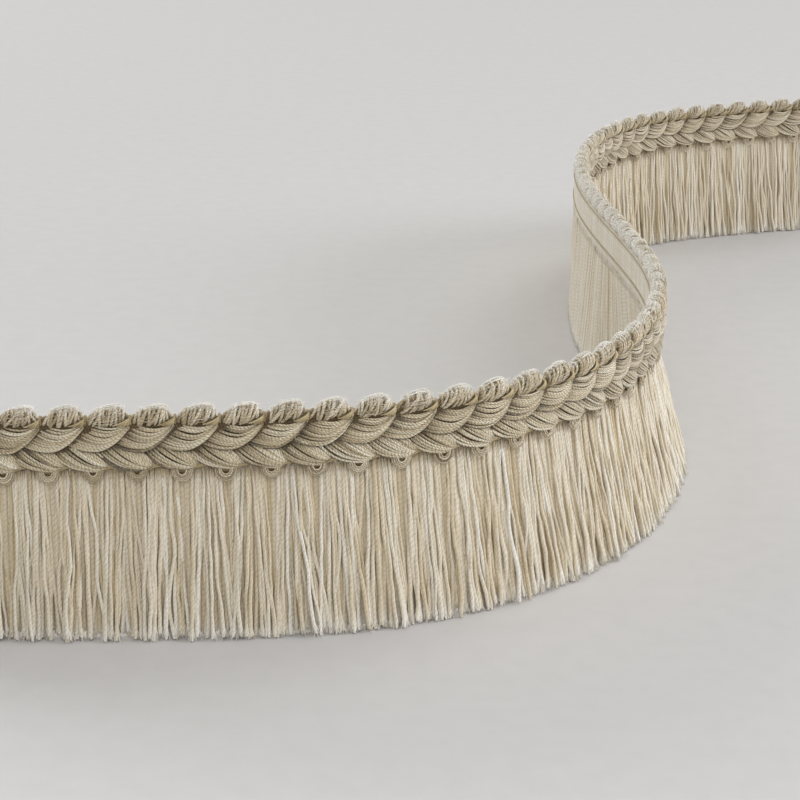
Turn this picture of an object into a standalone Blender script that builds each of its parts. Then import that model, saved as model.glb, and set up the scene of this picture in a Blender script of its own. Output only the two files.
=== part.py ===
"""A cut length of brush fringe trim, standing on its strand ends in an S curve.

The trim has a plaited braid on its front, a row of puffed picots along its top, a ground band
of bare yarns behind the braid, and a skirt of cut strands. Units are metres and +Z is up. The
origin is under the middle of the trim's footprint, at the height that the strands stand on.
"""

import math
import random
from collections import namedtuple

import bmesh
import bpy
from mathutils import Vector

MM = 0.001

# Driving sizes of the trim
REPEAT = 8.3 * MM
REPEATS = 60
LENGTH = REPEAT * REPEATS
HEIGHT = 45.0 * MM
PIECE_GAP = 0.3 * MM

# Heights of the heading, measured up from the strand ends
SKIRT_TOP = 31.3 * MM
BAND_BOTTOM = SKIRT_TOP + PIECE_GAP
BAND_TOP = 40.6 * MM
BRAID_BOTTOM = 32.4 * MM
BRAID_TOP = 40.6 * MM
PICOT_BOTTOM = BRAID_TOP + PIECE_GAP

# Depths, measured towards the braided front from the plan line
BAND_BACK = -1.5 * MM
BAND_FRONT = -0.3 * MM
BAND_ROUNDING = 0.3 * MM
BRAID_BACK = BAND_FRONT + PIECE_GAP
BRAID_GROOVE = 0.7 * MM
BRAID_CREST = 2.1 * MM

# The plan line on the table. Each row stands at a number of repeats from the near end, gives the
# bend there in turns to the left per metre, and how far the strand ends lie in front of the band.
Station = namedtuple("Station", "repeat bend lean")
PLAN = (
    Station(0, 0.0, 4.0 * MM),
    Station(5, 0.0, 6.5 * MM),
    Station(10, 7.5, 7.5 * MM),
    Station(15, 15.0, 6.0 * MM),
    Station(20, 8.5, 6.0 * MM),
    Station(25, 7.5, 7.0 * MM),
    Station(30, 1.5, 3.0 * MM),
    Station(35, -2.0, -2.5 * MM),
    Station(40, -5.0, -0.8 * MM),
    Station(45, -6.5, -0.5 * MM),
    Station(50, -15.5, 1.0 * MM),
    Station(55, -6.0, 4.0 * MM),
    Station(60, 5.0, 5.0 * MM),
)
START_HEADING = math.radians(2.6)
PLAN_STEPS_PER_REPEAT = 24

# The plait: leaves meet in a centre groove and slant back from it to both edges
Row = namedtuple("Row", "height rise slant")
BRAID_CENTRE = 36.3 * MM
BRAID_ROWS = (
    Row(BRAID_BOTTOM, 0.25, 0.95),
    Row(33.4 * MM, 0.75, 0.70),
    Row(34.8 * MM, 1.00, 0.36),
    Row(BRAID_CENTRE, 0.55, 0.00),
    Row(37.8 * MM, 1.00, 0.18),
    Row(39.6 * MM, 0.85, 0.38),
    Row(BRAID_TOP, 0.25, 0.50),
)
# Across one leaf: where each fold line lies in a repeat, and its share of the full relief
Fold = namedtuple("Fold", "phase relief")
LEAF_FOLDS = (
    Fold(0.00, 0.10),
    Fold(0.30, 0.62),
    Fold(0.68, 1.00),
    Fold(0.90, 0.92),
)
SLANT_EASING = 2.0

# The row of small loops under the plait, at the lower edge of the braid's own solid
LOOP_PHASE = 0.60
LOOP_SEAM = 31.9 * MM
LOOP_DROP = 1.7 * MM
LOOP_LIP = 0.3 * MM
LOOP_SHOULDER = 0.4
LOOP_BACK = 0.25 * MM
LOOP_FRONT = 1.5 * MM

# The picots: one puff to a repeat on a thin tie
PICOT_PHASE = 0.06
PICOT_SIDES = 6
PICOT_DEPTH = 3.6 * MM
Swell = namedtuple("Swell", "phase size")
PICOT_SWELLS = (
    Swell(-0.50, 0.46),
    Swell(-0.31, 0.86),
    Swell(0.00, 1.00),
    Swell(0.31, 0.86),
)
PICOT_UNEVEN = 0.05

# The skirt: strands hung from narrow strips, in separate lengths along the trim
SKIRT_PIECES = 12
STRANDS_PER_REPEAT = 4
STRIP_HEIGHT = 1.4 * MM
STRAND_PITCH = REPEAT / STRANDS_PER_REPEAT
STRAND_WIDTH = 1.35 * MM
STRAND_DEPTH = BAND_FRONT - BAND_BACK
STRAND_TIP_DEPTH = 1.7 * MM
STRAND_SWAY = 0.18 * MM
STRAND_STAGGER = 0.45 * MM
STRAND_LEVELS = (14.5 * MM, 0.0)
LEAN_POWER = 1.15

# Colours seen on the trim, as linear values
CREAM_YARN = (0.62, 0.55, 0.42, 1.0)
TAUPE_YARN = (0.33, 0.27, 0.18, 1.0)
PICOT_YARN = (0.42, 0.36, 0.26, 1.0)
YARN_ROUGHNESS = 0.85
SHARP_ANGLE = math.radians(40)

# Fixed starting points for what is uneven from picot to picot and strand to strand
PICOT_SEED = 11
STRAND_SEED = 7


def clear_scene():
    for item in list(bpy.data.objects):
        bpy.data.objects.remove(item, do_unlink=True)


def rows_around(repeat):
    """The two rows of the plan table on either side of a place, and its share of the way between."""
    repeat = min(max(repeat, PLAN[0].repeat), PLAN[-1].repeat)
    for low, high in zip(PLAN, PLAN[1:]):
        if repeat <= high.repeat:
            break
    return low, high, (repeat - low.repeat) / (high.repeat - low.repeat)


def bend_at(repeat):
    low, high, share = rows_around(repeat)
    return low.bend * (1 - share) + high.bend * share


def lean_at(repeat):
    low, high, share = rows_around(repeat)
    eased = share * share * (3 - 2 * share)
    return low.lean * (1 - eased) + high.lean * eased


def walk_plan():
    """Points along the plan line as (x, y, heading), found by walking it in short steps."""
    step = REPEAT / PLAN_STEPS_PER_REPEAT
    x, y, heading = 0.0, 0.0, START_HEADING
    points = [(x, y, heading)]
    for index in range(REPEATS * PLAN_STEPS_PER_REPEAT):
        turn = bend_at((index + 0.5) / PLAN_STEPS_PER_REPEAT) * step
        x += math.cos(heading + turn / 2) * step
        y += math.sin(heading + turn / 2) * step
        heading += turn
        points.append((x, y, heading))
    return points


PLAN_LINE = walk_plan()


def place(along, front, height):
    """A point given by its distance along the trim, in front of the plan line, and above the table."""
    position = min(max(along / LENGTH, 0.0), 1.0) * (len(PLAN_LINE) - 1)
    index = min(int(position), len(PLAN_LINE) - 2)
    share = position - index
    x, y, heading = (
        a * (1 - share) + b * share for a, b in zip(PLAN_LINE[index], PLAN_LINE[index + 1])
    )
    return Vector((x + front * math.sin(heading), y - front * math.cos(heading), height))


def bridge(bm, first, second, leave_out=()):
    """Joins two rings that have the same number of points with a band of faces."""
    count = len(first)
    for i in range(count):
        if i in leave_out:
            continue
        j = (i + 1) % count
        bm.faces.new((first[i], first[j], second[j], second[i]))


def add_ring(bm, ring):
    return [bm.verts.new(place(*point)) for point in ring]


def loft(bm, rings):
    """A closed solid through rings of (along, front, height) points."""
    made = [add_ring(bm, ring) for ring in rings]
    for first, second in zip(made, made[1:]):
        bridge(bm, first, second)
    bm.faces.new(made[0])
    bm.faces.new(made[-1])


def yarn_material(name, colour):
    material = bpy.data.materials.new(name)
    material.use_nodes = True
    shader = material.node_tree.nodes["Principled BSDF"]
    shader.inputs["Base Color"].default_value = colour
    shader.inputs["Roughness"].default_value = YARN_ROUGHNESS
    shader.inputs["Metallic"].default_value = 0.0
    return material


def finish_object(bm, name, material, collection):
    bmesh.ops.recalc_face_normals(bm, faces=bm.faces)
    mesh = bpy.data.meshes.new(name)
    bm.to_mesh(mesh)
    bm.free()
    mesh.materials.append(material)
    mesh.shade_smooth()
    mesh.set_sharp_from_angle(angle=SHARP_ANGLE)
    piece = bpy.data.objects.new(name, mesh)
    collection.objects.link(piece)
    return piece


def band_ring(along):
    middle = (BAND_FRONT + BAND_BACK) / 2
    low, high = BAND_BOTTOM + BAND_ROUNDING, BAND_TOP - BAND_ROUNDING
    return [
        (along, BAND_FRONT, low),
        (along, BAND_FRONT, high),
        (along, middle, BAND_TOP),
        (along, BAND_BACK, high),
        (along, BAND_BACK, low),
        (along, middle, BAND_BOTTOM),
    ]


def make_ground_band(material, collection):
    """The sheet of bare yarns that backs the braid, seen from the rear of the trim."""
    bm = bmesh.new()
    loft(bm, [band_ring(index * REPEAT) for index in range(REPEATS + 1)])
    return finish_object(bm, "ground_band", material, collection)


def eased_slant(repeat):
    """The leaves' slant dies away at both ends, where the trim is cut square."""
    near = repeat / SLANT_EASING
    far = (REPEATS - repeat) / SLANT_EASING
    return max(0.0, min(1.0, near, far))


def loop_edge(repeat):
    """How far the small loops hang at this place: 1 under a loop, 0 between two."""
    return max(0.0, math.cos(2 * math.pi * (repeat - LOOP_PHASE)))


def braid_ring(repeat, relief):
    """The plait's section along one slanted fold line, with the loops at its lower edge."""
    slant = eased_slant(repeat)
    ring = []
    for row in reversed(BRAID_ROWS):
        front = BRAID_GROOVE + (BRAID_CREST - BRAID_GROOVE) * row.rise * relief
        ring.append(((repeat + row.slant * slant) * REPEAT, front, row.height))
    top_along, lowest_along = ring[0][0], ring[-1][0]
    drop = LOOP_DROP * loop_edge(lowest_along / REPEAT)
    middle = (LOOP_BACK + LOOP_FRONT) / 2
    shoulder = LOOP_SEAM - drop * LOOP_SHOULDER
    return ring + [
        (lowest_along, LOOP_FRONT if drop > 0 else middle, shoulder),
        (lowest_along, middle, LOOP_SEAM - LOOP_LIP - drop),
        (lowest_along, LOOP_BACK, shoulder),
        (lowest_along, BRAID_BACK, BRAID_BOTTOM),
        (top_along, BRAID_BACK, BRAID_TOP),
    ]


def make_plaited_braid(material, collection):
    """The plait of leaf-shaped yarn bundles on the front, with its row of small loops."""
    bm = bmesh.new()
    rings = []
    for index in range(REPEATS):
        rings += [braid_ring(index + fold.phase, fold.relief) for fold in LEAF_FOLDS]
    rings.append(braid_ring(REPEATS, LEAF_FOLDS[0].relief))
    loft(bm, rings)
    return finish_object(bm, "plaited_braid", material, collection)


def picot_ring(repeat, size):
    along = min(max(repeat, 0.0), REPEATS) * REPEAT
    height = (HEIGHT - PICOT_BOTTOM) * size
    ring = []
    for side in range(PICOT_SIDES):
        angle = 2 * math.pi * (side + 0.5) / PICOT_SIDES
        level = 0.5 + 0.5 * math.sin(angle)
        ring.append((along, PICOT_DEPTH / 2 * size * math.cos(angle), PICOT_BOTTOM + height * level))
    return ring


def make_picot_edge(material, collection):
    """The row of picots along the top: puffs that swell from one thin tie."""
    bm = bmesh.new()
    chance = random.Random(PICOT_SEED)
    rings = []
    for index in range(REPEATS + 1):
        uneven = 1.0 - PICOT_UNEVEN * chance.random()
        for swell in PICOT_SWELLS:
            repeat = index + PICOT_PHASE + swell.phase
            if 0.0 < repeat < REPEATS:
                rings.append(picot_ring(repeat, swell.size * uneven))
    first = [(0.0, front, height) for _, front, height in rings[0]]
    last = [(LENGTH, front, height) for _, front, height in rings[-1]]
    loft(bm, [first] + rings + [last])
    return finish_object(bm, "picot_edge", material, collection)


def strip_ring(along):
    return [
        (along, BAND_FRONT, SKIRT_TOP - STRIP_HEIGHT),
        (along, BAND_FRONT, SKIRT_TOP),
        (along, BAND_BACK, SKIRT_TOP),
        (along, BAND_BACK, SKIRT_TOP - STRIP_HEIGHT),
    ]


def strand_ring(middle, height, sway, stagger):
    """The strand's four corners at one height, leaning with the skirt and swaying by itself."""
    root = SKIRT_TOP - STRIP_HEIGHT
    down = (root - height) / root
    front = lean_at(middle / REPEAT) * down**LEAN_POWER + stagger * down
    front += (BAND_FRONT + BAND_BACK) / 2
    half_depth = (STRAND_DEPTH * (1 - down) + STRAND_TIP_DEPTH * down) / 2
    left = middle - STRAND_WIDTH / 2 + sway * down
    right = middle + STRAND_WIDTH / 2 + sway * down
    return [
        (left, front + half_depth, height),
        (right, front + half_depth, height),
        (right, front - half_depth, height),
        (left, front - half_depth, height),
    ]


def make_skirt_piece(number, chance, material, collection):
    """One length of skirt: a narrow strip with its strands fused to it by their roots."""
    bm = bmesh.new()
    strands = STRANDS_PER_REPEAT * REPEATS // SKIRT_PIECES
    start = number * strands * STRAND_PITCH
    previous = None
    for index in range(strands):
        middle = start + (index + 0.5) * STRAND_PITCH
        left = add_ring(bm, strip_ring(middle - STRAND_WIDTH / 2))
        right = add_ring(bm, strip_ring(middle + STRAND_WIDTH / 2))
        if previous is None:
            bm.faces.new(left)
        else:
            bridge(bm, previous, left)
        bridge(bm, left, right, leave_out=(3,))
        sway = chance.uniform(-STRAND_SWAY, STRAND_SWAY)
        stagger = chance.uniform(-STRAND_STAGGER, STRAND_STAGGER)
        ring = [left[0], right[0], right[3], left[3]]
        for height in STRAND_LEVELS:
            below = add_ring(bm, strand_ring(middle, height, sway, stagger))
            bridge(bm, ring, below)
            ring = below
        bm.faces.new(ring)
        previous = right
    bm.faces.new(previous)
    return finish_object(bm, f"skirt_{number + 1:02d}", material, collection)


def centre_on_footprint(pieces):
    """Moves the finished solids so that the origin lies under the middle of the footprint."""
    points = [vertex.co for piece in pieces for vertex in piece.data.vertices]
    middle_x = (min(p.x for p in points) + max(p.x for p in points)) / 2
    middle_y = (min(p.y for p in points) + max(p.y for p in points)) / 2
    for piece in pieces:
        for vertex in piece.data.vertices:
            vertex.co.x -= middle_x
            vertex.co.y -= middle_y


def build():
    clear_scene()
    collection = bpy.data.collections.new("brush_fringe_trim")
    bpy.context.scene.collection.children.link(collection)
    cream = yarn_material("cream_yarn", CREAM_YARN)
    taupe = yarn_material("taupe_yarn", TAUPE_YARN)
    pale = yarn_material("picot_yarn", PICOT_YARN)
    pieces = [
        make_ground_band(cream, collection),
        make_plaited_braid(taupe, collection),
        make_picot_edge(pale, collection),
    ]
    chance = random.Random(STRAND_SEED)
    for number in range(SKIRT_PIECES):
        skirt = yarn_material(f"skirt_yarn_{number + 1:02d}", CREAM_YARN)
        pieces.append(make_skirt_piece(number, chance, skirt, collection))
    centre_on_footprint(pieces)


build()
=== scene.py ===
"""The looks of the brush fringe trim: its plait, picots, loops, ties and skirt, yarn by yarn.

Places along the trim are given in repeats from its near end, heights above the table and
depths in front of the plan line in millimetres. The frame's own unit is the metre.
"""

import math
from collections import namedtuple

import bpy
import numpy as np
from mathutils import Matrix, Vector


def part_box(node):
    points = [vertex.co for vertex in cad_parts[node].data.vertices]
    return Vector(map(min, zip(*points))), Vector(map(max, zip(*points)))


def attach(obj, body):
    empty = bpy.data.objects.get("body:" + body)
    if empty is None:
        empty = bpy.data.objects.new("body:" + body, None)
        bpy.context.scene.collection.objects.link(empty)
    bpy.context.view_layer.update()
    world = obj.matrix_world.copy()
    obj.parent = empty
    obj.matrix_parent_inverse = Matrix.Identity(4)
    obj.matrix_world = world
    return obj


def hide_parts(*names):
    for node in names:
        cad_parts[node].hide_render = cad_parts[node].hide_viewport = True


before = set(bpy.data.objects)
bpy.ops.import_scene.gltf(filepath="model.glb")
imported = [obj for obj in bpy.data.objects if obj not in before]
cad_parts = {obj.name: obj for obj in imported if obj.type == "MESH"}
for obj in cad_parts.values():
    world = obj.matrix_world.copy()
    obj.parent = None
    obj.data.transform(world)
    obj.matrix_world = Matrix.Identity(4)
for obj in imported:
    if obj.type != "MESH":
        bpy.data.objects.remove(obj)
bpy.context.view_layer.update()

MM = 0.001
REPEAT = 8.3
REPEATS = 60
LENGTH = REPEAT * REPEATS
HEIGHT = 45.0
SKIRT_PIECES = 12

# The plan line at every fifth repeat: its bend to the left in radians per metre, and how far the
# strand ends lie forward in millimetres
PLAN_REPEATS = np.arange(0, 61, 5)
PLAN_BENDS = np.array([0, 0, 7.5, 15, 8.5, 7.5, 1.5, -2, -5, -6.5, -15.5, -6, 5])
PLAN_LEANS = np.array([4, 6.5, 7.5, 6, 6, 7, 3, -2.5, -0.8, -0.5, 1, 4, 5])
START_HEADING = math.radians(2.6)
PLAN_STEPS_PER_REPEAT = 24
LEAN_POWER = 1.15

# The ground band's depths in front of the plan line, and the heights of its rows
BAND_BACK = -1.5
BAND_FRONT = -0.3
BAND_LEVELS = np.array([30.4, 33.0, 35.6, 38.2, 40.9])

# Phases within a repeat of the small loops, the gaps between them, the leaves, notches and picots
LOOP_PHASE = 0.60
GAP_PHASE = 0.10
LEAF_PHASE = 0.56
NOTCH_PHASE = 0.47
PICOT_PHASE = -0.045

# A picot's middle, in height and in front, and its half length in repeats
PICOT_HEIGHT = 42.55
PICOT_FRONT = 0.15
PICOT_REACH = 0.395

# How far a picot's yarns rise above its middle and stand in front of it
PICOT_RISE = 1.88
PICOT_DEPTH = 1.66

# Of what would run past a cut end, the share that is left standing out
END_SQUEEZE = 0.03


def walk_plan():
    """Positions and headings along the plan line, walked as the part's source walks it."""
    count = REPEATS * PLAN_STEPS_PER_REPEAT
    step = REPEAT / PLAN_STEPS_PER_REPEAT
    middles = (np.arange(count) + 0.5) / PLAN_STEPS_PER_REPEAT
    turns = np.interp(middles, PLAN_REPEATS, PLAN_BENDS) * step * MM
    headings = START_HEADING + np.concatenate([[0.0], np.cumsum(turns)])
    halfway = headings[:-1] + turns / 2
    x = np.concatenate([[0.0], np.cumsum(np.cos(halfway) * step)])
    y = np.concatenate([[0.0], np.cumsum(np.sin(halfway) * step)])
    return np.arange(count + 1) * step, x, y, headings


LINE_ALONG, LINE_X, LINE_Y, LINE_HEADING = walk_plan()


def raw_place(along, front, height):
    """Points in millimetres from distance along the trim, in front of it, and above the table."""
    along, front, height = np.broadcast_arrays(along, front, height)
    outside = np.minimum(along, 0) + np.maximum(along - LENGTH, 0)
    x = np.interp(along, LINE_ALONG, LINE_X)
    y = np.interp(along, LINE_ALONG, LINE_Y)
    heading = np.interp(along, LINE_ALONG, LINE_HEADING)
    x = x + outside * END_SQUEEZE * np.cos(heading) + front * np.sin(heading)
    y = y + outside * END_SQUEEZE * np.sin(heading) - front * np.cos(heading)
    return np.stack([x, y, height], axis=-1)


def find_shift():
    """How far the part's frame is moved from the plan line's own start, in millimetres."""
    along = np.arange(REPEATS + 1)[:, None] * REPEAT
    fronts = np.array([[BAND_BACK, BAND_FRONT]])
    raw = raw_place(along, fronts, 0.0).reshape(-1, 3)
    low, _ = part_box("ground_band")
    return np.array([raw[:, 0].min() - low[0] / MM, raw[:, 1].min() - low[1] / MM, 0.0])


SHIFT = find_shift()


def place(along, front, height):
    """The same points in the part's frame, in metres."""
    return (raw_place(along, front, height) - SHIFT) * MM


def lean_at(repeat):
    """How far forward the strand ends lie, eased between the rows of the plan table."""
    last = len(PLAN_REPEATS) - 2
    index = np.clip(np.searchsorted(PLAN_REPEATS, repeat, side="right") - 1, 0, last)
    share = (repeat - PLAN_REPEATS[index]) / (PLAN_REPEATS[index + 1] - PLAN_REPEATS[index])
    share = np.clip(share, 0, 1)
    eased = share * share * (3 - 2 * share)
    return PLAN_LEANS[index] * (1 - eased) + PLAN_LEANS[index + 1] * eased


def front_direction(along):
    """The direction that the braided face looks in at each place."""
    heading = np.interp(along, LINE_ALONG, LINE_HEADING)
    return np.stack([np.sin(heading), -np.cos(heading), np.zeros_like(heading)], axis=-1)


def along_direction(along):
    """The direction in which the trim runs at each place."""
    heading = np.interp(along, LINE_ALONG, LINE_HEADING)
    return np.stack([np.cos(heading), np.sin(heading), np.zeros_like(heading)], axis=-1)


def smooth_rows(rows, count):
    """A table's rows read at evenly spaced places of the smooth curve through them."""
    rows = np.asarray(rows, dtype=float)
    ends = np.concatenate([2 * rows[:1] - rows[1:2], rows, 2 * rows[-1:] - rows[-2:-1]])
    where = np.linspace(0, len(rows) - 1, count)
    index = np.minimum(where.astype(int), len(rows) - 2)
    t = (where - index).reshape(-1, *([1] * (rows.ndim - 1)))
    a, b, c, d = (ends[index + k] for k in range(4))
    return 0.5 * (
        2 * b
        + (c - a) * t
        + (2 * a - 5 * b + 4 * c - d) * t**2
        + (3 * b - a - 3 * c + d) * t**3
    )


def unit(vectors):
    """The vectors at a length of one."""
    return vectors / np.maximum(np.linalg.norm(vectors, axis=-1, keepdims=True), 1e-12)


# A yarn's cell in the baking square: how many times as long as wide, and its margins
CELL_SLIMNESS = 8
CELL_END = 0.03
CELL_SIDE = 0.08


class Yarns:
    """Yarns collected as tubes, and made into one mesh with their own thread coordinates."""

    def __init__(self):
        self.points = []
        self.faces = []
        self.thread = []
        self.cells = []
        self.tones = []
        self.point_count = 0
        self.yarn_count = 0

    def add(self, centres, radii, reference, tones, sides, chance, single=False):
        """Adds tubes round the centres, given in metres as yarns by rows by 3.

        The radii are in millimetres, and the tones are given as yarns by rows by sides, or fewer.
        single is for fibres, which show no ply round them and no painted shade on their sides.
        """
        yarns, rows = centres.shape[:2]
        radii = np.broadcast_to(radii, (yarns, rows)) * MM
        reference = np.broadcast_to(reference, (yarns, rows, 3))
        tangents = unit(np.gradient(centres, axis=1))
        across = unit(reference - tangents * (reference * tangents).sum(-1, keepdims=True))
        other = np.cross(tangents, across)
        angles = 2 * np.pi * np.arange(sides) / sides
        spokes = np.cos(angles)[:, None] * across[:, :, None]
        spokes = spokes + np.sin(angles)[:, None] * other[:, :, None]
        ring = centres[:, :, None] + radii[:, :, None, None] * spokes
        self.points.append(ring.reshape(-1, 3))
        tones = np.asarray(tones, dtype=float)
        tones = tones.reshape(tones.shape + (1,) * (3 - tones.ndim))
        self.tones.append(np.broadcast_to(tones, (yarns, rows, sides)).ravel())

        yarn, row, side = np.meshgrid(
            np.arange(yarns), np.arange(rows - 1), np.arange(sides), indexing="ij"
        )
        following = (side + 1) % sides
        corners = np.stack(
            [
                (yarn * rows + row) * sides + side,
                (yarn * rows + row) * sides + following,
                (yarn * rows + row + 1) * sides + following,
                (yarn * rows + row + 1) * sides + side,
            ],
            axis=-1,
        )
        self.faces.append(corners.reshape(-1, 4) + self.point_count)
        self.point_count += yarns * rows * sides

        steps = np.linalg.norm(np.diff(centres, axis=1), axis=-1) / MM
        length = np.concatenate([np.zeros((yarns, 1)), np.cumsum(steps, axis=1)], axis=1)
        length = length + chance.uniform(0, 50, (yarns, 1))
        start = length[yarn, row]
        end = length[yarn, row + 1]
        left = side / sides
        right = (side + 1) / sides
        corners = np.stack([left, start, right, start, right, end, left, end], axis=-1)
        self.thread.append(corners.reshape(-1, 2) * np.array([0.0 if single else 1.0, 1.0]))
        low = row / (rows - 1)
        high = (row + 1) / (rows - 1)
        cell = np.stack([low, left, low, right, high, right, high, left], axis=-1)
        owner = np.repeat((yarn + self.yarn_count).reshape(-1, 1), 4, axis=1).reshape(-1)
        self.cells.append(np.column_stack([cell.reshape(-1, 2), owner]))
        self.yarn_count += yarns

    def make(self, name, material):
        """One piece of all the yarns, each with a cell of its own in the baking square."""
        cells = np.concatenate(self.cells)
        columns = max(1, round(math.sqrt(self.yarn_count / CELL_SLIMNESS)))
        rows = math.ceil(self.yarn_count / columns)
        along, across, owner = cells.T
        along = CELL_END + (1 - 2 * CELL_END) * along
        across = CELL_SIDE + (1 - 2 * CELL_SIDE) * across
        column = (owner % columns + along) / columns
        row = (owner // columns + across) / rows
        mesh = bpy.data.meshes.new(name)
        mesh.from_pydata(np.concatenate(self.points), [], np.concatenate(self.faces))
        bake = np.column_stack([column, row])
        write_layers(mesh, bake, np.concatenate(self.thread), np.concatenate(self.tones))
        return add_piece(mesh, material)


def write_layers(mesh, bake, thread, tones):
    """Gives each corner its place for baking and on its thread, and each point its tone."""
    for name, values in (("OFBake", bake), ("Thread", thread)):
        layer = mesh.uv_layers.new(name=name)
        layer.uv.foreach_set("vector", values.astype(np.float32).ravel())
    tone = mesh.attributes.new("tone", "FLOAT", "POINT")
    tone.data.foreach_set("value", tones.astype(np.float32))


def add_piece(mesh, material):
    """The mesh as a piece of the trim, under the mesh's name."""
    mesh.materials.append(material)
    mesh.shade_smooth()
    piece = bpy.data.objects.new(mesh.name, mesh)
    bpy.context.scene.collection.objects.link(piece)
    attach(piece, "root")
    return piece


class NodeBuilder:
    """Short calls for the nodes of one material."""

    def __init__(self, name):
        self.material = bpy.data.materials.new(name)
        self.material.use_nodes = True
        self.tree = self.material.node_tree
        self.shader = self.tree.nodes["Principled BSDF"]

    def node(self, kind, **settings):
        made = self.tree.nodes.new(kind)
        for key, value in settings.items():
            setattr(made, key, value)
        return made

    def link(self, output, target):
        self.tree.links.new(output, target)

    def value(self, target, given):
        if isinstance(given, bpy.types.NodeSocket):
            self.link(given, target)
        else:
            target.default_value = given

    def math(self, operation, *inputs, clamp=False):
        made = self.node("ShaderNodeMath", operation=operation, use_clamp=clamp)
        for target, given in zip(made.inputs, inputs):
            self.value(target, given)
        return made.outputs[0]

    def combine(self, x, y, z):
        made = self.node("ShaderNodeCombineXYZ")
        for target, given in zip(made.inputs, (x, y, z)):
            self.value(target, given)
        return made.outputs[0]

    def noise(self, vector, scale, detail=2.0):
        made = self.node("ShaderNodeTexNoise")
        self.link(vector, made.inputs["Vector"])
        made.inputs["Scale"].default_value = scale
        made.inputs["Detail"].default_value = detail
        return made.outputs["Fac"]

    def ramp(self, factor, stops):
        made = self.node("ShaderNodeValToRGB")
        self.link(factor, made.inputs["Fac"])
        elements = made.color_ramp.elements
        while len(elements) < len(stops):
            elements.new(0.5)
        for element, (position, colour) in zip(elements, stops):
            element.position = position
            element.color = linear(colour)
        return made.outputs["Color"]

    def darken(self, colour, factor, shade):
        made = self.node("ShaderNodeMix", data_type="RGBA", blend_type="MIX")
        self.link(factor, made.inputs[0])
        self.link(colour, made.inputs[6])
        made.inputs[7].default_value = linear(shade)
        return made.outputs[2]

    def bump(self, height, strength, distance):
        made = self.node("ShaderNodeBump")
        self.link(height, made.inputs["Height"])
        made.inputs["Strength"].default_value = strength
        made.inputs["Distance"].default_value = distance
        self.link(made.outputs["Normal"], self.shader.inputs["Normal"])


def linear(colour):
    """An sRGB colour of 0 to 255 as the linear values that the nodes take."""
    scaled = [part / 255 for part in colour]
    return [
        part / 12.92 if part <= 0.04045 else ((part + 0.055) / 1.055) ** 2.4 for part in scaled
    ] + [1.0]


# How fast a yarn's three noises run along it, for each millimetre
UNEVEN_PACE = 0.35
FIBRE_PACE = 0.9
DRIFT_PACE = 0.07

# A yarn's tone times these sets its own place in each noise, so that no two yarns look alike
UNEVEN_SEED = 29.0
FIBRE_SEED = 41.0
DRIFT_SEED = 63.0

# How wide the fibre noise is laid round a yarn, and how far the uneven one turns the ply's twist
FIBRE_LANES = 5.0
TWIST_JITTER = 3.4

# What the noises do to a yarn's colour, its relief and its roughness
FIBRE_COLOUR = 0.70
DRIFT_COLOUR = 0.30
FIBRE_RELIEF = 0.45
ROUGHNESS_SPREAD = 0.18
SHEEN_ROUGHNESS = 0.45
BUMP_HEIGHT = 0.00014


def yarn_material(
    name, stops, shade, pitch, groove, relief, roughness, sheen, specular, edge=0.0
):
    """Plied yarn: tone picks its colour, its twist runs round it, painted shade darkens its grooves
    and sides.
    """
    build = NodeBuilder(name)
    tone = build.node("ShaderNodeAttribute", attribute_name="tone").outputs["Fac"]
    thread = build.node("ShaderNodeUVMap", uv_map="Thread").outputs["UV"]
    parts = build.node("ShaderNodeSeparateXYZ")
    build.link(thread, parts.inputs[0])
    around, along = parts.outputs[0], parts.outputs[1]
    turned = build.math("MULTIPLY", around, 2 * math.pi)
    uneven_place = build.combine(
        build.math("MULTIPLY", along, UNEVEN_PACE),
        build.math("MULTIPLY", tone, UNEVEN_SEED),
        5.0,
    )
    uneven = build.noise(uneven_place, 1.6, 1.0)
    wound = build.math("MULTIPLY_ADD", along, -2 * math.pi / pitch, turned)
    wound = build.math("MULTIPLY_ADD", uneven, TWIST_JITTER, wound)
    ply = build.math("ABSOLUTE", build.math("COSINE", wound))
    lane = build.combine(
        build.math("MULTIPLY", around, FIBRE_LANES),
        build.math("MULTIPLY", along, FIBRE_PACE),
        build.math("MULTIPLY", tone, FIBRE_SEED),
    )
    fibre = build.noise(lane, 2.6, 3.0)
    drift_place = build.combine(
        build.math("MULTIPLY", along, DRIFT_PACE),
        build.math("MULTIPLY", tone, DRIFT_SEED),
        0.0,
    )
    drift = build.noise(drift_place, 3.0, 1.0)
    mixed = build.math("MULTIPLY_ADD", build.math("SUBTRACT", fibre, 0.5), FIBRE_COLOUR, tone)
    drifted = build.math("SUBTRACT", drift, 0.5)
    mixed = build.math("MULTIPLY_ADD", drifted, DRIFT_COLOUR, mixed, clamp=True)
    colour = build.ramp(mixed, stops)
    # Painted shade: darkened towards the shade colour in the ply's grooves, and by edge on the
    # yarn's sides
    hollow = build.math("POWER", build.math("SUBTRACT", 1.0, ply), 2.0)
    depth = build.math("MULTIPLY", uneven, 2.0 * groove)
    hollow = build.math("MULTIPLY", hollow, depth, clamp=True)
    side_shade = build.math("POWER", build.math("ABSOLUTE", build.math("SINE", turned)), 3.0)
    hollow = build.math("MAXIMUM", hollow, build.math("MULTIPLY", side_shade, edge))
    colour = build.darken(colour, hollow, shade)
    build.link(colour, build.shader.inputs["Base Color"])
    height = build.math("MULTIPLY_ADD", fibre, FIBRE_RELIEF, ply)
    build.bump(height, relief, BUMP_HEIGHT)
    smoothest = roughness - ROUGHNESS_SPREAD / 2
    rough = build.math("MULTIPLY_ADD", fibre, ROUGHNESS_SPREAD, smoothest)
    build.link(rough, build.shader.inputs["Roughness"])
    build.shader.inputs["Sheen Weight"].default_value = sheen
    build.shader.inputs["Sheen Roughness"].default_value = SHEEN_ROUGHNESS
    build.shader.inputs["Specular IOR Level"].default_value = specular
    return build.material


# Each material's second colour is the painted shade for its ply grooves, and for its sides where
# edge is given
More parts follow.
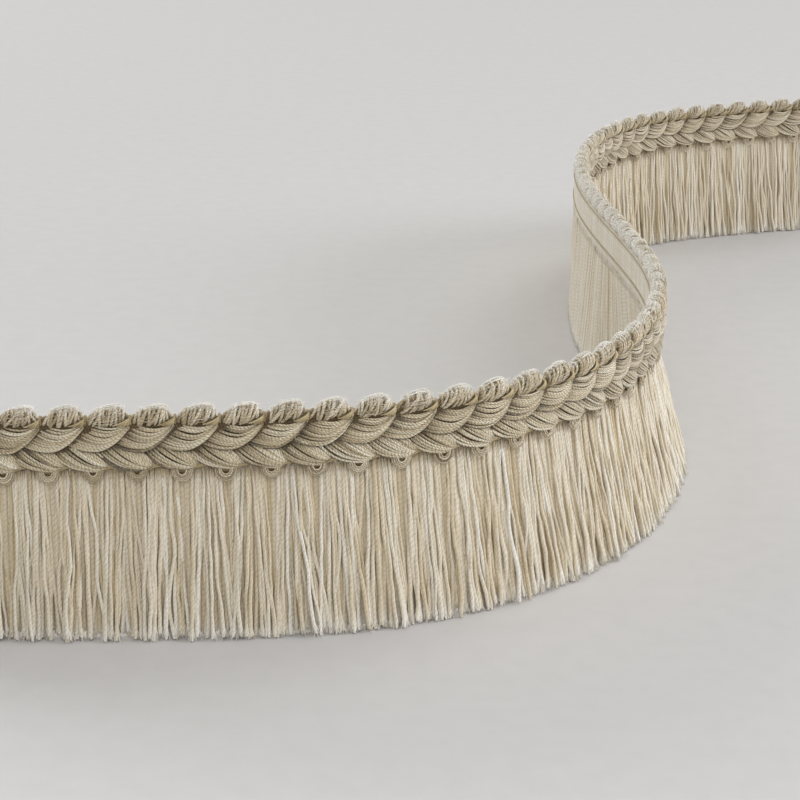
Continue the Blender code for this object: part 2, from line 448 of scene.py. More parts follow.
CREAM = yarn_material(
    "cream_yarn",
    [
        (0.0, (203, 185, 148)),
        (0.35, (225, 211, 183)),
        (0.7, (239, 230, 210)),
        (1.0, (248, 244, 234)),
    ],
    (158, 136, 92),
    pitch=2.1,
    groove=0.28,
    relief=0.70,
    roughness=0.82,
    sheen=0.30,
    specular=0.22,
    edge=0.30,
)
TAUPE = yarn_material(
    "taupe_yarn",
    [
        # The darkest stop mostly colours painted shade: the tucked leaf starts and the dark yarns
        # under the leaves' edges
        (0.0, (76, 60, 38)),
        (0.2, (176, 157, 118)),
        (0.5, (228, 211, 174)),
        (1.0, (255, 247, 222)),
    ],
    (84, 68, 42),
    pitch=1.4,
    groove=0.62,
    relief=1.00,
    roughness=0.32,
    sheen=0.30,
    specular=1.0,
    edge=0.22,
)
PICOT = yarn_material(
    "picot_yarn",
    [
        (0.0, (112, 94, 62)),
        (0.2, (182, 164, 128)),
        (0.5, (230, 216, 186)),
        (1.0, (254, 250, 240)),
    ],
    (112, 94, 62),
    pitch=1.5,
    groove=0.55,
    relief=0.70,
    roughness=0.48,
    sheen=0.25,
    specular=0.45,
)
GOLD = yarn_material(
    "gold_thread",
    [(0.0, (160, 138, 94)), (0.5, (202, 181, 136)), (1.0, (232, 217, 177))],
    (96, 76, 42),
    pitch=0.8,
    groove=0.55,
    relief=0.55,
    roughness=0.55,
    sheen=0.15,
    specular=0.35,
)
BROWN = yarn_material(
    "stitch_thread",
    [(0.0, (192, 172, 136)), (0.5, (208, 190, 156)), (1.0, (224, 208, 178))],
    (132, 110, 76),
    pitch=0.7,
    groove=0.55,
    relief=0.55,
    roughness=0.60,
    sheen=0.15,
    specular=0.30,
)
# The heading core's dark colour is painted shade for the slits of the plait and the gaps under the
# picots
CORE = yarn_material(
    "heading_core",
    [(0.0, (92, 78, 56)), (0.5, (118, 102, 76)), (1.0, (142, 126, 98))],
    (48, 38, 24),
    pitch=1.1,
    groove=0.60,
    relief=0.60,
    roughness=0.80,
    sheen=0.10,
    specular=0.20,
)
# A dark thread set in each small loop's hollow as painted shade
PAINTED_LOOP_SHADE = yarn_material(
    "loop_shade_painted",
    [(0.0, (130, 110, 76)), (0.5, (150, 128, 92)), (1.0, (170, 148, 110))],
    (70, 56, 34),
    pitch=1.1,
    groove=0.60,
    relief=0.60,
    roughness=0.85,
    sheen=0.05,
    specular=0.15,
)
# The loose fibres' pale colour is painted light: light from behind shining through them
FIBRE = yarn_material(
    "loose_fibre",
    [(0.0, (226, 216, 192)), (0.5, (240, 234, 218)), (1.0, (250, 247, 238))],
    (214, 202, 176),
    pitch=1.5,
    groove=0.10,
    relief=0.10,
    roughness=0.70,
    sheen=0.40,
    specular=0.30,
)


Layer = namedtuple("Layer", "each root tip stray pull sway clump wave kink")

# The skirt's layers, front to back: strands a repeat, how far forward the root and the cut end lie,
# how far a place strays, how closely a root keeps to its place, how far the end sways and follows
# its clump, and the size of the slow waves and of the small kinks
SKIRT_LAYERS = (
    Layer(10.8, -0.35, 0.85, 0.45, 0.74, 0.50, 1.0, 1.0, 0.070),
    Layer(10.0, -0.75, 0.05, 0.30, 0.84, 0.32, 0.8, 0.8, 0.060),
    Layer(9.2, -0.95, -0.85, 0.05, 1.0, 0.05, 0.25, 0.2, 0.02),
)
FRONT_LAYER = 0
BACK_LAYER = 2

# A strand's tube: its top, sides and rows above the cut, and how far down the last of them lies
STRAND_TOP = 32.1
STRAND_SIDES = 6
STRAND_ROWS = 16
LAST_ROW_SHARE = 0.965

# The lowest cut end and how far above it the others spread, and how late a strand leaves its root
LOWEST_CUT = 0.12
CUT_SPREAD = 1.3
FAN_POWER = 1.25

# The shares of strands that cross others, are fine or are thick, the radius in the back layer, and
# how low a loose fibre may reach
CROSSING_SHARE = 0.20
FINE_SHARE = 0.14
THICK_SHARE = 0.07
BACK_RADIUS = 0.62
LOWEST_FIBRE = 0.10


def of_layer(column, layer):
    """A column of the layers' table, read for each strand."""
    return np.array([getattr(row, column) for row in SKIRT_LAYERS])[layer]


def lay_out_strands(chance):
    """Each strand's place along the trim, its layer, and how far forward its two ends lie."""
    along, layers, root_front, tip_front = [], [], [], []
    for number, layer in enumerate(SKIRT_LAYERS):
        count = round(layer.each * REPEATS)
        pitch = LENGTH / count
        stray = chance.uniform(-layer.stray, layer.stray, count) * pitch
        along.append((np.arange(count) + 0.5) * pitch + stray)
        root_front.append(layer.root + chance.normal(0, 0.12, count))
        tip_front.append(layer.tip + chance.normal(0, layer.stray, count))
        layers.append(np.full(count, number))
    return [np.concatenate(column) for column in (along, layers, root_front, tip_front)]


def fan_out(along, layer, chance):
    """Where the strands are rooted, drawn in between two loops, and where they end."""
    count = len(along)
    gap = (np.round(along / REPEAT - GAP_PHASE) + GAP_PHASE) * REPEAT
    root = gap + (along - gap) * of_layer("pull", layer)
    tip = along + chance.normal(0, 1, count) * of_layer("sway", layer)
    crossing = (chance.random(count) < CROSSING_SHARE) & (layer < BACK_LAYER)
    side = chance.choice([-1, 1], count)
    tip = tip + np.where(crossing, side * chance.uniform(1.0, 2.4, count), 0)
    clump = 0.55 * np.sin(along * 0.83 + 1.1) + 0.45 * np.sin(along * 0.37 + 4.0)
    return root, tip + clump * of_layer("clump", layer)


def strand_waves(layer, share, chance):
    """How far the strands wander along and in front on their way down, and their thick places."""
    count = len(layer)
    swing = chance.uniform(0, 2 * np.pi, (count, 6))
    beat = chance.uniform(0.7, 2.1, (count, 2))
    size = chance.gamma(3.0, 0.070, (count, 2)) * of_layer("wave", layer)[:, None]
    kink = chance.uniform(3.6, 6.2, (count, 2))
    slight = of_layer("kink", layer)[:, None]
    fade = np.sin(np.pi * np.minimum(share * 1.6 + 0.02, 1) / 2)
    waves = []
    for way in range(2):
        slow = np.sin(swing[:, way, None] + 2 * np.pi * beat[:, way, None] * share)
        quick = np.sin(swing[:, way + 2, None] + 2 * np.pi * kink[:, way, None] * share)
        waves.append(size[:, way, None] * slow * fade + slight * quick)
    slub = np.sin(swing[:, 4:5] + 2 * np.pi * kink[:, 1:] * 0.6 * share)
    return waves[0], waves[1], slub


def strand_radii(layer, share, slub, chance):
    """The strands' thickness: uneven, drawn in at the root, and again at the cut end."""
    count = len(layer)
    radius = chance.uniform(0.35, 0.47, count)
    fine = (chance.random(count) < FINE_SHARE) & (layer == FRONT_LAYER)
    radius = np.where(fine, radius * 0.78, radius)
    radius = np.where(chance.random(count) < THICK_SHARE, radius * 1.22, radius)
    swell = 0.84 + 0.20 * share + 0.09 * slub
    radii = radius[:, None] * (swell + chance.normal(0, 0.03, swell.shape))
    radii[layer == BACK_LAYER] = BACK_RADIUS
    radii[layer < BACK_LAYER, 0] *= 0.60
    radii[:, -2] *= 1.06
    radii[:, -1] *= 0.72
    return radii


def strand_tones(tone, layer, share):
    """Strand tones: dark at the root, pale at the cut end, painted shade on the back layer's front.
    """
    down = tone[:, None] + 0.28 * np.clip((share - 0.88) * 10, 0, 1) - 0.60 * (share < 0.03)
    facing = np.cos(2 * np.pi * np.arange(STRAND_SIDES) / STRAND_SIDES)
    # Painted shade: the back layer's strands are darker on the side facing forward, behind the
    # other layers
    under = (layer == BACK_LAYER)[:, None, None] * (0.06 + 0.16 * facing)
    return np.clip(down[:, :, None] - under, 0, 1)


def make_skirt():
    """The cut strands, in twelve lengths, each hung between the small loops and fanned out."""
    chance = np.random.default_rng(31)
    along, layer, root_front, tip_front = lay_out_strands(chance)
    count = len(along)
    root_along, tip_along = fan_out(along, layer, chance)

    share = np.append(np.linspace(0, LAST_ROW_SHARE, STRAND_ROWS), 1.0)[None, :]
    top = STRAND_TOP - chance.random((count, 1)) * 0.3
    tip = LOWEST_CUT + chance.random((count, 1)) ** 2 * CUT_SPREAD
    height = top * (1 - share) + tip * share
    down = (top - height) / top
    wave_along, wave_front, slub = strand_waves(layer, share, chance)
    eased = share**FAN_POWER
    x = root_along[:, None] * (1 - eased) + tip_along[:, None] * eased + wave_along
    x = np.clip(x, 0.3, LENGTH - 0.3)
    lean = lean_at(along / REPEAT)[:, None] * down**LEAN_POWER
    front = root_front[:, None] * (1 - eased) + tip_front[:, None] * eased + lean + wave_front

    radii = strand_radii(layer, share, slub, chance)
    # The middle layer's strands are a little darker: painted shade behind the front layer
    tone = np.clip(chance.normal(0.58, 0.17, count) - 0.08 * (layer == 1), 0, 1)
    tones = strand_tones(tone, layer, share)

    per_piece = LENGTH / SKIRT_PIECES
    made = []
    for number in range(SKIRT_PIECES):
        mine = (along >= number * per_piece) & (along < (number + 1) * per_piece)
        centres = place(x[mine], front[mine], height[mine])
        yarns = Yarns()
        yarns.add(centres, radii[mine], front_direction(x[mine]), tones[mine], STRAND_SIDES, chance)
        add_frayed_ends(yarns, x[mine], front[mine], height[mine], radii[mine], tone[mine], chance)
        piece = yarns.make(f"fringe_{number + 1:02d}", CREAM)
        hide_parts(f"skirt_{number + 1:02d}")
        made.append(piece)
    return made


def add_frayed_ends(yarns, x, front, height, radii, tone, chance):
    """The loose fibres at the cut ends of the strands."""
    each = 6
    count = len(x) * each
    owner = np.repeat(np.arange(len(x)), each)
    angle = chance.uniform(0, 2 * np.pi, count)
    flare = chance.uniform(0.10, 0.70, count)
    start = np.stack([x[owner, -3], front[owner, -3], height[owner, -3]], axis=-1)
    finish = np.stack([x[owner, -1], front[owner, -1], height[owner, -1]], axis=-1)
    inside = radii[owner, -2] * 0.80
    out = np.stack([np.cos(angle), np.sin(angle), np.zeros(count)], axis=-1)
    first = finish * 0.50 + start * 0.50 + out * inside[:, None]
    last = finish + out * (inside + flare)[:, None]
    last[:, 2] = np.maximum(finish[:, 2] - chance.uniform(-0.3, 1.0, count), LOWEST_FIBRE)
    middle = (first + last) / 2 - out * (flare * 0.15)[:, None]
    path = np.stack([first, middle, last], axis=1)
    centres = place(path[..., 0], path[..., 1], path[..., 2])
    radius = np.array([0.075, 0.085, 0.040])[None, :]
    reference = along_direction(path[..., 0])
    tones = np.clip(tone[owner] + 0.55, 0, 1)
    yarns.add(centres, radius, reference, tones, 3, chance, single=True)


# Guides of one leaf: lowest, middle and highest yarn, as (repeats from the tie, height, depth)
UPPER_LEAF = (
    (
        (-1.64, 37.9, 0.30),
        (-1.46, 37.2, 0.95),
        (-1.145, 36.4, 1.45),
        (-0.82, 36.3, 1.70),
        (-0.59, 37.1, 1.75),
        (-0.36, 38.5, 1.60),
        (-0.12, 40.6, 0.90),
    ),
    (
        (-1.38, 39.8, 0.25),
        (-1.18, 39.1, 0.95),
        (-0.95, 38.4, 1.60),
        (-0.72, 38.15, 1.95),
        (-0.52, 38.6, 1.95),
        (-0.31, 39.6, 1.60),
        (-0.12, 40.9, 0.85),
    ),
    (
        (-1.08, 41.1, 0.15),
        (-0.93, 40.7, 0.60),
        (-0.76, 40.35, 0.95),
        (-0.58, 40.15, 1.10),
        (-0.44, 40.25, 1.10),
        (-0.27, 40.6, 0.95),
        (-0.12, 41.1, 0.60),
    ),
)
LOWER_LEAF = (
    (
        (-1.97, 36.4, 0.25),
        (-1.83, 35.6, 0.60),
        (-1.68, 34.4, 0.95),
        (-1.42, 33.05, 1.25),
        (-1.10, 32.40, 1.35),
        (-0.85, 32.25, 1.25),
        (-0.56, 33.0, 0.65),
    ),
    (
        (-1.62, 37.5, 0.25),
        (-1.44, 36.8, 0.80),
        (-1.26, 35.8, 1.45),
        (-1.06, 34.7, 1.80),
        (-0.88, 33.75, 1.80),
        (-0.72, 33.15, 1.40),
        (-0.55, 33.05, 0.70),
    ),
    (
        (-1.02, 36.7, 0.30),
        (-0.92, 36.1, 0.70),
        (-0.84, 35.6, 0.95),
        (-0.76, 35.0, 1.05),
        (-0.69, 34.3, 1.05),
        (-0.62, 33.6, 0.90),
        (-0.55, 33.1, 0.60),
    ),
)


LEAF_YARNS = 12
LEAF_ROWS = 13
LEAF_TAPER = (0.75, 1.0, 1.0, 1.0, 1.0, 0.95, 0.70)
# Painted shade and light along a leaf's rows: much darker at the tucked start, darker at the end, a
# little paler on the swell
LEAF_PAINTED_SHADE = (-0.55, -0.28, 0.0, 0.05, 0.05, 0.0, -0.20)
TUCKED_DEPTHS = np.array([0.25, 0.30, 0.12])


def make_leaves(name, guides, seed, tone_middle):
    """One row of the plait: bundles of yarns, each leaf tucked under the one before it."""
    chance = np.random.default_rng(seed)
    lines = np.array([smooth_rows(guide, LEAF_ROWS) for guide in guides])
    share = np.linspace(0, 1, LEAF_YARNS)
    weight = np.stack([np.interp(share, [0, 0.5, 1], corner) for corner in np.eye(3)], axis=1)
    lanes = np.einsum("yg,grc->yrc", weight, lines)
    bend = np.sin(np.linspace(0, np.pi, LEAF_ROWS))[None, :]
    taper = smooth_rows(LEAF_TAPER, LEAF_ROWS)[None, :]
    shade = smooth_rows(LEAF_PAINTED_SHADE, LEAF_ROWS)
    yarns = Yarns()
    for index in range(REPEATS + 2):
        shape = lanes.copy()
        swell = 1 + chance.normal(0, 0.05)
        shape[:, :, 2] *= swell * 1.10
        shape[:, :, 1] += chance.normal(0, 0.07, (LEAF_YARNS, 1))
        shape[:, :, 2] += chance.normal(0, 0.06, (LEAF_YARNS, 1))
        shape[0, :, 2] += 0.12
        shape[:, :3, 2] -= TUCKED_DEPTHS
        shape[:, :, 1] += chance.normal(0, 0.08, (LEAF_YARNS, 1)) * bend
        shape[:, 0, 0] += chance.normal(0, 0.02, LEAF_YARNS)
        repeats, height, front = shape.transpose(2, 0, 1)
        along = (index + LEAF_PHASE + repeats) * REPEAT + chance.normal(0, 0.12)
        if along.max() < 0.6 or along.min() > LENGTH - 0.6:
            continue
        radius = chance.uniform(0.235, 0.290, (LEAF_YARNS, 1))
        # Each yarn's own tone, with the rows' painted shade added
        tone = np.clip(chance.normal(tone_middle, 0.17, (LEAF_YARNS, 1)) + shade, 0, 1)
        facing = front_direction(along)
        yarns.add(place(along, front, height), radius * taper, facing, tone, 5, chance)
        add_leaf_shadow_yarn(yarns, along[:1], front[:1], height[:1], chance)
    return yarns.make(name, TAUPE)


def add_leaf_shadow_yarn(yarns, along, front, height, chance):
    """A dark yarn just behind and below a leaf's lowest one, painted shade along the leaf's edge.
    """
    along = along - 0.10
    edge = place(along, front - 0.22, height - 0.30)
    yarns.add(edge, 0.16, front_direction(along), 0.0, 4, chance)


def make_heading_core():
    """The plait's packing, dark as painted shade where it shows in its slits and under the picots.
    """
    chance = np.random.default_rng(5)
    yarns = Yarns()
    along = np.linspace(0, LENGTH, REPEATS * 4 + 1)[None, :]
    heights = np.array([32.9, 33.9, 34.9, 35.9, 36.9, 37.9, 38.9, 39.8, 40.6])[:, None]
    fronts = np.array([0.15, 0.45, 0.55, 0.45, 0.45, 0.55, 0.55, 0.45, 0.40])[:, None]
    wave = 0.12 * np.sin(along * 1.7 + heights * 2.1)
    centres = place(along + 0 * heights, fronts + wave, heights + 0 * along)
    reference = front_direction(along + 0 * heights)
    tone = chance.uniform(0.2, 0.8, len(heights))
    yarns.add(centres, 0.62, reference, tone, 6, chance)
    return yarns.make("heading_core", CORE)


def make_cut_ends():
    """A few upright yarns over each cut end of the plait, where the packing would show."""
    chance = np.random.default_rng(47)
    yarns = Yarns()
    rise = np.linspace(0, 1, 9)[None, :]
    front = np.array([-0.10, 0.30, 0.70, 1.10])[:, None]
    bow = 0.08 * np.sin(np.pi * rise)
    height = 31.9 + (9.3 - 0.5 * np.abs(front)) * rise
    for end in (0.10, LENGTH - 0.10):
        along = end + 0 * rise + 0 * front
        centres = place(along, front + bow, height)
        tone = chance.uniform(0.25, 0.55, len(front))
        yarns.add(centres, 0.27, front_direction(along), tone, 6, chance)
    return yarns.make("cut_ends", TAUPE)


def picot_rim(lie, half):
    """A picot's swell at places along it, in repeats from its middle, where it is 1."""
    return np.clip(1 - (np.abs(lie) / half) ** 2.2, 0.05, 1) ** 0.55


def make_picots():
    """The puffs along the top: yarns wound over a leaning bundle, from front over to back."""
    chance = np.random.default_rng(17)
    turns = 13
    rows = 14
    yarns = Yarns()
    angle = np.radians(np.linspace(-100, 265, rows))[None, :]
    rise = np.sin(angle)
    share = np.linspace(-1, 1, turns)[:, None]
    bow = 0.035 * np.cos(angle) * share
    lean = 0.100 - 0.13 * np.clip((share - 0.35) / 0.65, 0, 1)
    # Painted highlight: yarns over the back and top of each picot are paler, over the front a
    # little darker, as light from behind falls
    painted_highlight = 0.70 * np.clip(-np.cos(angle), -0.1, 1) + 0.30 * np.maximum(rise, 0) ** 2
    for index in range(REPEATS + 1):
        centre = index + PICOT_PHASE + chance.normal(0, 0.010)
        size = 1 + chance.normal(0, 0.035)
        lie = share * PICOT_REACH + chance.normal(0, 0.017, (turns, 1))
        rim = picot_rim(lie, PICOT_REACH * 1.05)
        tall = (PICOT_RISE * size + chance.normal(0, 0.07, (turns, 1))) * rim
        deep = (PICOT_DEPTH * size + chance.normal(0, 0.10, (turns, 1))) * rim
        middle = PICOT_HEIGHT + 0.30 * lie / PICOT_REACH
        slant = lean + chance.normal(0, 0.055, (turns, 1))
        along = (centre + lie + slant * rise * rim + bow) * REPEAT
        front = deep * np.cos(angle) + PICOT_FRONT
        height = np.minimum(middle + tall * rise, HEIGHT - 0.25)
        outward = front_direction(along) * front[..., None]
        outward[..., 2] += height - middle
        radius = chance.uniform(0.25, 0.31, (turns, 1))
        tone = np.clip(chance.normal(0.45, 0.14, (turns, 1)) + 0.08 * share + painted_highlight, 0, 1)
        yarns.add(place(along, front, height), radius, unit(outward), tone, 5, chance)
    add_picot_curls(yarns, chance, 9, (-25, 70), 0.15, (0.15, 0.75), 0.075)
    return yarns.make("picots", PICOT)


def make_picot_core():
    """The packing inside the picots, thin at each notch, which keeps daylight from showing."""
    chance = np.random.default_rng(19)
    yarns = Yarns()
    along = np.linspace(0, LENGTH, REPEATS * 10 + 1)[None, :]
    turn = np.cos(2 * np.pi * (along / REPEAT - PICOT_PHASE))
    radius = 1.12 + 0.42 * turn
    height = 42.0 + 0.42 * turn
    facing = np.cos(2 * np.pi * np.arange(8) / 8)
    # Painted shade and light: the packing is darker on the side facing forward and paler on the
    # side facing back
    tone = np.clip(0.40 - 0.55 * facing, 0, 0.85)[None, None, :]
    yarns.add(place(along, 0.0 * along, height), radius, front_direction(along), tone, 8, chance)
    return yarns.make("picot_core", PICOT)


# The same measures for the fibres round a picot, which start just under its outer yarns
FIBRE_REACH = 0.415
FIBRE_RISE = 1.86
FIBRE_DEPTH = 1.62


def over_picots(index, lie, out, angle):
    """Places of fibres that lie out beyond the picots' yarns, at an angle round them."""
    rim = picot_rim(lie, FIBRE_REACH)
    along = index + PICOT_PHASE + lie + 0.10 * np.sin(angle) * rim
    front = (FIBRE_DEPTH * rim + out) * np.cos(angle) + PICOT_FRONT
    height = PICOT_HEIGHT + 0.75 * lie + (FIBRE_RISE * rim + out) * np.sin(angle)
    return along, front, height


def make_picot_fuzz():
    """Loose fibres round the picots, pale as painted light from behind shining through them."""
    chance = np.random.default_rng(23)
    each = 52
    count = REPEATS * each
    index = np.repeat(np.arange(REPEATS), each)[:, None]
    lie = chance.uniform(-0.38, 0.38, (count, 1))
    angle = np.radians(chance.uniform(20, 190, (count, 1)))
    sweep = np.radians(chance.normal(0, 26, (count, 1)))
    lift = chance.uniform(0.05, 0.46, (count, 1))
    steps = np.array([0.0, 0.5, 1.0])[None, :]
    out = 0.20 + lift * np.array([0.0, 0.8, 1.0])[None, :]
    along, front, height = over_picots(index, lie, out, angle + sweep * steps)
    along = (along + chance.normal(0, 0.09, (count, 1)) * steps) * REPEAT
    yarns = Yarns()
    radius = np.array([0.046, 0.040, 0.018])[None, :]
    tones = chance.uniform(0.85, 1, count)
    yarns.add(place(along, front, height), radius, front_direction(along), tones, 3, chance)
    add_picot_curls(yarns, chance, 14, (62, 150), 0.22, (0.75, 1.0), 0.070)
    return yarns.make("picot_fuzz", FIBRE)


def add_picot_curls(yarns, chance, each, angles, lift, tones, thick):
    """Fibres that lie along the trim over each picot and follow its round outline."""
    count = REPEATS * each
    index = np.repeat(np.arange(REPEATS), each)[:, None]
    start = chance.uniform(-0.40, 0.02, (count, 1))
    finish = chance.uniform(0.16, 0.43, (count, 1))
    share = np.linspace(0, 1, 5)[None, :]
    lie = start * (1 - share) + finish * share
    angle = chance.uniform(*angles, (count, 1))
    angle = np.radians(angle + chance.normal(0, 12, (count, 1)) * share)
    out = lift + chance.uniform(0, 0.26, (count, 1)) + 0.10 * share**2
    along, front, height = over_picots(index, lie, out, angle)
    along = along * REPEAT
    centres = place(along, front, height)
    radius = thick * np.array([0.45, 0.90, 1.0, 0.90, 0.40])[None, :]
    tone = chance.uniform(*tones, count)
    yarns.add(centres, radius, front_direction(along), tone, 3, chance, single=True)


LOOP_TOP = 32.35


def make_small_loops():
    """The row of small loops under the plait: a few fine arcs round a hole of painted shade."""
    chance = np.random.default_rng(41)
    turn = np.linspace(0, np.pi, 11)[None, :]
    half = np.array([0.85, 1.19, 1.54, 1.90])[:, None]
    drop = np.array([1.08, 1.52, 1.96, 2.42])[:, None]
    depth = np.array([1.50, 1.42, 1.28, 1.05])[:, None]
    arcs = len(half)
    yarns = Yarns()
    for index in range(REPEATS):
        size = 1 + chance.normal(0, 0.07)
        middle = (index + LOOP_PHASE) * REPEAT + chance.normal(0, 0.15)
        along = middle - half * size * np.cos(turn)
        height = LOOP_TOP - (0.10 + drop * size) * np.sin(turn) ** 0.8
        front = depth + 0.15 * np.sin(turn) + chance.normal(0, 0.05, (arcs, 1))
        centres = place(along, front, height)
        tone = np.clip(chance.normal(0.42, 0.13, arcs), 0, 1)
        radius = chance.uniform(0.145, 0.175, (arcs, 1))
        yarns.add(centres, radius, front_direction(along), tone, 5, chance)
    return yarns.make("small_loops", PICOT)


def make_painted_loop_shades():
    """Painted shade in each small loop's hollow: one short thick dark thread behind its arcs."""
    chance = np.random.default_rng(43)
    yarns = Yarns()
    share = np.linspace(-1, 1, 7)[None, :]
    middles = ((np.arange(REPEATS) + LOOP_PHASE) * REPEAT)[:, None]
    along = middles + 1.05 * share
    radius = 0.80 * np.sqrt(1 - (0.97 * share) ** 2) + 0 * middles
    centres = place(along, 0.42 + 0 * along, 31.60 + 0 * along)
    tone = chance.uniform(0.0, 0.2, REPEATS)
    yarns.add(centres, radius, front_direction(along), tone, 8, chance)
    return yarns.make("painted_loop_shades", PAINTED_LOOP_SHADE)


def make_gold_threads():
    """The fine gold thread: a fan of ties in each notch, and a scallop under the plait."""
    chance = np.random.default_rng(53)
    yarns = Yarns()
    for index in range(REPEATS):
        add_ties(yarns, index + NOTCH_PHASE, chance)
    along = np.linspace(0, LENGTH, REPEATS * 10 + 1)[None, :]
    phase = 2 * np.pi * (along / REPEAT - LOOP_PHASE)
    offset = np.array([0.0, 0.30])[:, None]
    height = 32.30 + offset - 0.55 * np.cos(phase)
    front = 1.02 - 0.25 * offset + 0.05 * np.sin(3 * phase)
    along = along + 0 * offset
    centres = place(along, front, height)
    yarns.add(centres, 0.22, front_direction(along), [0.40, 0.55], 4, chance)
    return yarns.make("gold_threads", GOLD)


def add_ties(yarns, notch, chance):
    """The fan of ties that runs down from one notch, and the two rings round the heading there."""
    ties = 6
    share = np.linspace(0, 1, ties)[:, None]
    down = np.linspace(0, 1, 7)[None, :]
    finish = -0.08 - 0.30 * share + chance.normal(0, 0.012, (ties, 1))
    along = (notch + (finish + 0.02) * down**1.2) * REPEAT
    height = PICOT_HEIGHT - 0.12 * share - (1.75 - 0.45 * share) * down
    front = 0.55 + 1.15 * np.sin(np.pi * (0.10 + 0.62 * down)) + 0.25 * share * down
    tone = chance.uniform(0.25, 0.95, ties)
    yarns.add(place(along, front, height), 0.125, front_direction(along), tone, 4, chance)

    over = np.radians(np.linspace(-60, 250, 10))[None, :]
    side = np.array([-0.012, 0.012])[:, None]
    along = (notch + side + 0 * over) * REPEAT
    around = 0.96
    ring = place(along, around * np.cos(over), 41.70 + around * np.sin(over))
    tone = chance.uniform(0.2, 0.8, len(side))
    yarns.add(ring, 0.17, along_direction(along), tone, 4, chance)


STITCH_HEIGHTS = (34.0, 40.6)
CHAINS_PER_REPEAT = 4


def make_back_stitches():
    """The two brown chain-stitch lines on the back of the ground band."""
    chance = np.random.default_rng(61)
    yarns = Yarns()
    side = np.array([-1.0, 1.0])[:, None]
    along = np.linspace(0, LENGTH, REPEATS * 12 + 1)[None, :] + 0 * side
    phase = 2 * np.pi * along / REPEAT * CHAINS_PER_REPEAT
    front = BAND_BACK - 0.22 - 0.10 * side * np.cos(phase)
    for height in STITCH_HEIGHTS:
        centres = place(along, front, height + side * 0.22 * np.sin(phase))
        yarns.add(centres, 0.11, front_direction(along), [0.4, 0.6], 4, chance)
    return yarns.make("back_stitches", BROWN)


def make_ground_band():
    """The flat band of warp yarns behind the plait, as one ribbed strip of cloth."""
    ribs = REPEATS * 9
    steps_per_rib = 2
    count = ribs * steps_per_rib + 1
    along = np.linspace(0, LENGTH, count)
    rib = np.abs(np.sin(np.pi * np.arange(count) / steps_per_rib))
    back = BAND_BACK - 0.02 - 0.22 * rib + 0.12
    front = np.full(count, BAND_FRONT - 0.1)
    rings = [place(along, back, level) for level in BAND_LEVELS]
    rings += [place(along, front, level) for level in BAND_LEVELS[::-1]]
    points = np.stack(rings, axis=1)
    sides = len(rings)
    row, side = np.meshgrid(np.arange(count - 1), np.arange(sides), indexing="ij")
    start = row * sides
    end = start + sides
    following = (side + 1) % sides
    faces = np.stack([start + side, start + following, end + following, end + side], axis=-1)
    faces = faces.reshape(-1, 4)
    caps = [list(range(sides))[::-1], [(count - 1) * sides + k for k in range(sides)]]
    mesh = bpy.data.meshes.new("ground_cloth")
    mesh.from_pydata(points.reshape(-1, 3), [], [list(face) for face in faces] + caps)

    low, high = row / (count - 1), (row + 1) / (count - 1)
    left, right = side / sides, (side + 1) / sides
    bake = np.stack([low, left, low, right, high, right, high, left], axis=-1).reshape(-1, 2)
    corners = faces.reshape(-1)
    level = np.minimum(corners % sides, sides - 1 - corners % sides)
    thread = np.column_stack([corners // sides / steps_per_rib, BAND_LEVELS[level]])
    cap_corners = np.zeros((2 * sides, 2))
    chance = np.random.default_rng(71)
    tones = np.clip(chance.normal(0.80, 0.13, ribs + 1), 0, 1)
    write_layers(
        mesh,
        np.concatenate([bake, cap_corners]),
        np.concatenate([thread, cap_corners]),
        np.repeat(tones[np.arange(count) // steps_per_rib], sides),
    )
    return add_piece(mesh, CREAM)


skirts = make_skirt()
upper_leaves = make_leaves("upper_leaves", UPPER_LEAF, seed=3, tone_middle=0.46)
make_leaves("lower_leaves", LOWER_LEAF, seed=4, tone_middle=0.50)
make_heading_core()
make_cut_ends()
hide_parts("plaited_braid")
picots = make_picots()
make_picot_core()
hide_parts("picot_edge")
make_picot_fuzz()
make_small_loops()
make_painted_loop_shades()
make_gold_threads()
stitches = make_back_stitches()
band = make_ground_band()
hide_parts("ground_band")


def make_floor():
    """A plain pale table, far wider than the view."""
    build = NodeBuilder("floor")
    coordinates = build.node("ShaderNodeTexCoord").outputs["Object"]
    fine = build.noise(coordinates, 180.0, 3.0)
    colour = build.ramp(fine, [(0.3, (210, 208, 205)), (0.7, (213, 211, 208))])
    build.link(colour, build.shader.inputs["Base Color"])
    build.shader.inputs["Roughness"].default_value = 0.75
    build.shader.inputs["Specular IOR Level"].default_value = 0.0
    build.bump(fine, 0.03, 0.0005)
    half = 4.0
    mesh = bpy.data.meshes.new("floor")
    corners = [(-half, -half, 0), (half, -half, 0), (half, half, 0), (-half, half, 0)]
    mesh.from_pydata(corners, [], [(0, 1, 2, 3)])
    mesh.materials.append(build.material)
    floor = bpy.data.objects.new("floor", mesh)
    bpy.context.scene.collection.objects.link(floor)


Lamp = namedtuple("Lamp", "name location target size energy colour")

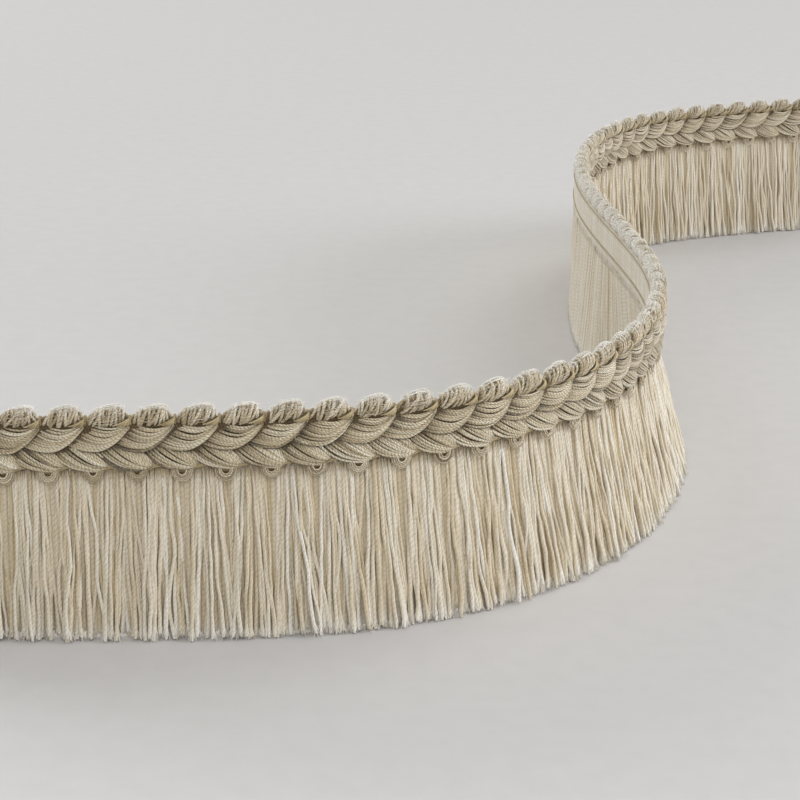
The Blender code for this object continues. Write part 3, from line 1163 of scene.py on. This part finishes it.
LAMPS = (
    Lamp("key", (5.0, 5.5, 7.0), (0.0, 0.0, 0.0), 5.4, 250.0, (1.0, 0.985, 0.96)),
    Lamp("back", (-5.5, 10.5, 5.5), (-0.3, 0.0, 0.0), 7.0, 430.0, (1.0, 0.99, 0.97)),
    Lamp("front", (0.03, -0.80, 0.62), (0.0, -0.15, 0.0), 0.6, 2.05, (1.0, 0.99, 0.985)),
    Lamp("right", (2.6, -0.15, 0.95), (0.05, 0.0, 0.0), 1.4, 37.0, (0.97, 0.99, 1.08)),
    Lamp("left", (-1.35, 0.85, 0.50), (0.0, 0.2, 0.03), 0.7, 6.5, (1.0, 1.0, 1.0)),
)
WORLD_COLOUR = (0.97, 0.98, 1.0, 1.0)
WORLD_STRENGTH = 0.44


def set_light():
    """A soft studio: an even world and five round lamps, most of the light from behind."""
    world = bpy.data.worlds.new("soft_studio")
    bpy.context.scene.world = world
    world.use_nodes = True
    background = world.node_tree.nodes["Background"]
    background.inputs["Color"].default_value = WORLD_COLOUR
    background.inputs["Strength"].default_value = WORLD_STRENGTH
    for lamp in LAMPS:
        light = bpy.data.lights.new(lamp.name, "AREA")
        light.shape = "DISK"
        light.size = lamp.size
        light.energy = lamp.energy
        light.color = lamp.colour
        holder = bpy.data.objects.new(lamp.name, light)
        holder.location = lamp.location
        direction = Vector(np.array(lamp.target) - np.array(lamp.location))
        holder.rotation_euler = direction.to_track_quat("-Z", "Y").to_euler()
        bpy.context.scene.collection.objects.link(holder)


# The camera that the trim's curve was fitted to the photo with: its place in metres, its tilt up
# from looking straight down in degrees, and its lens in millimetres
CAMERA_PLACE = (-0.029, -0.514, 0.164)
CAMERA_TILT = 71.4
CAMERA_LENS = 90.0


def set_camera():
    """The scene's one camera, set as the fit to the photo found it."""
    camera = bpy.data.cameras.new("camera")
    camera.sensor_width = 36.0
    camera.lens = CAMERA_LENS
    camera.clip_start = 0.02
    camera.clip_end = 20.0
    holder = bpy.data.objects.new("camera", camera)
    holder.location = CAMERA_PLACE
    holder.rotation_euler = (math.radians(CAMERA_TILT), 0.0, 0.0)
    bpy.context.scene.collection.objects.link(holder)
    bpy.context.scene.camera = holder


make_floor()
set_light()
set_camera()
bpy.context.scene.view_settings.view_transform = "Standard"
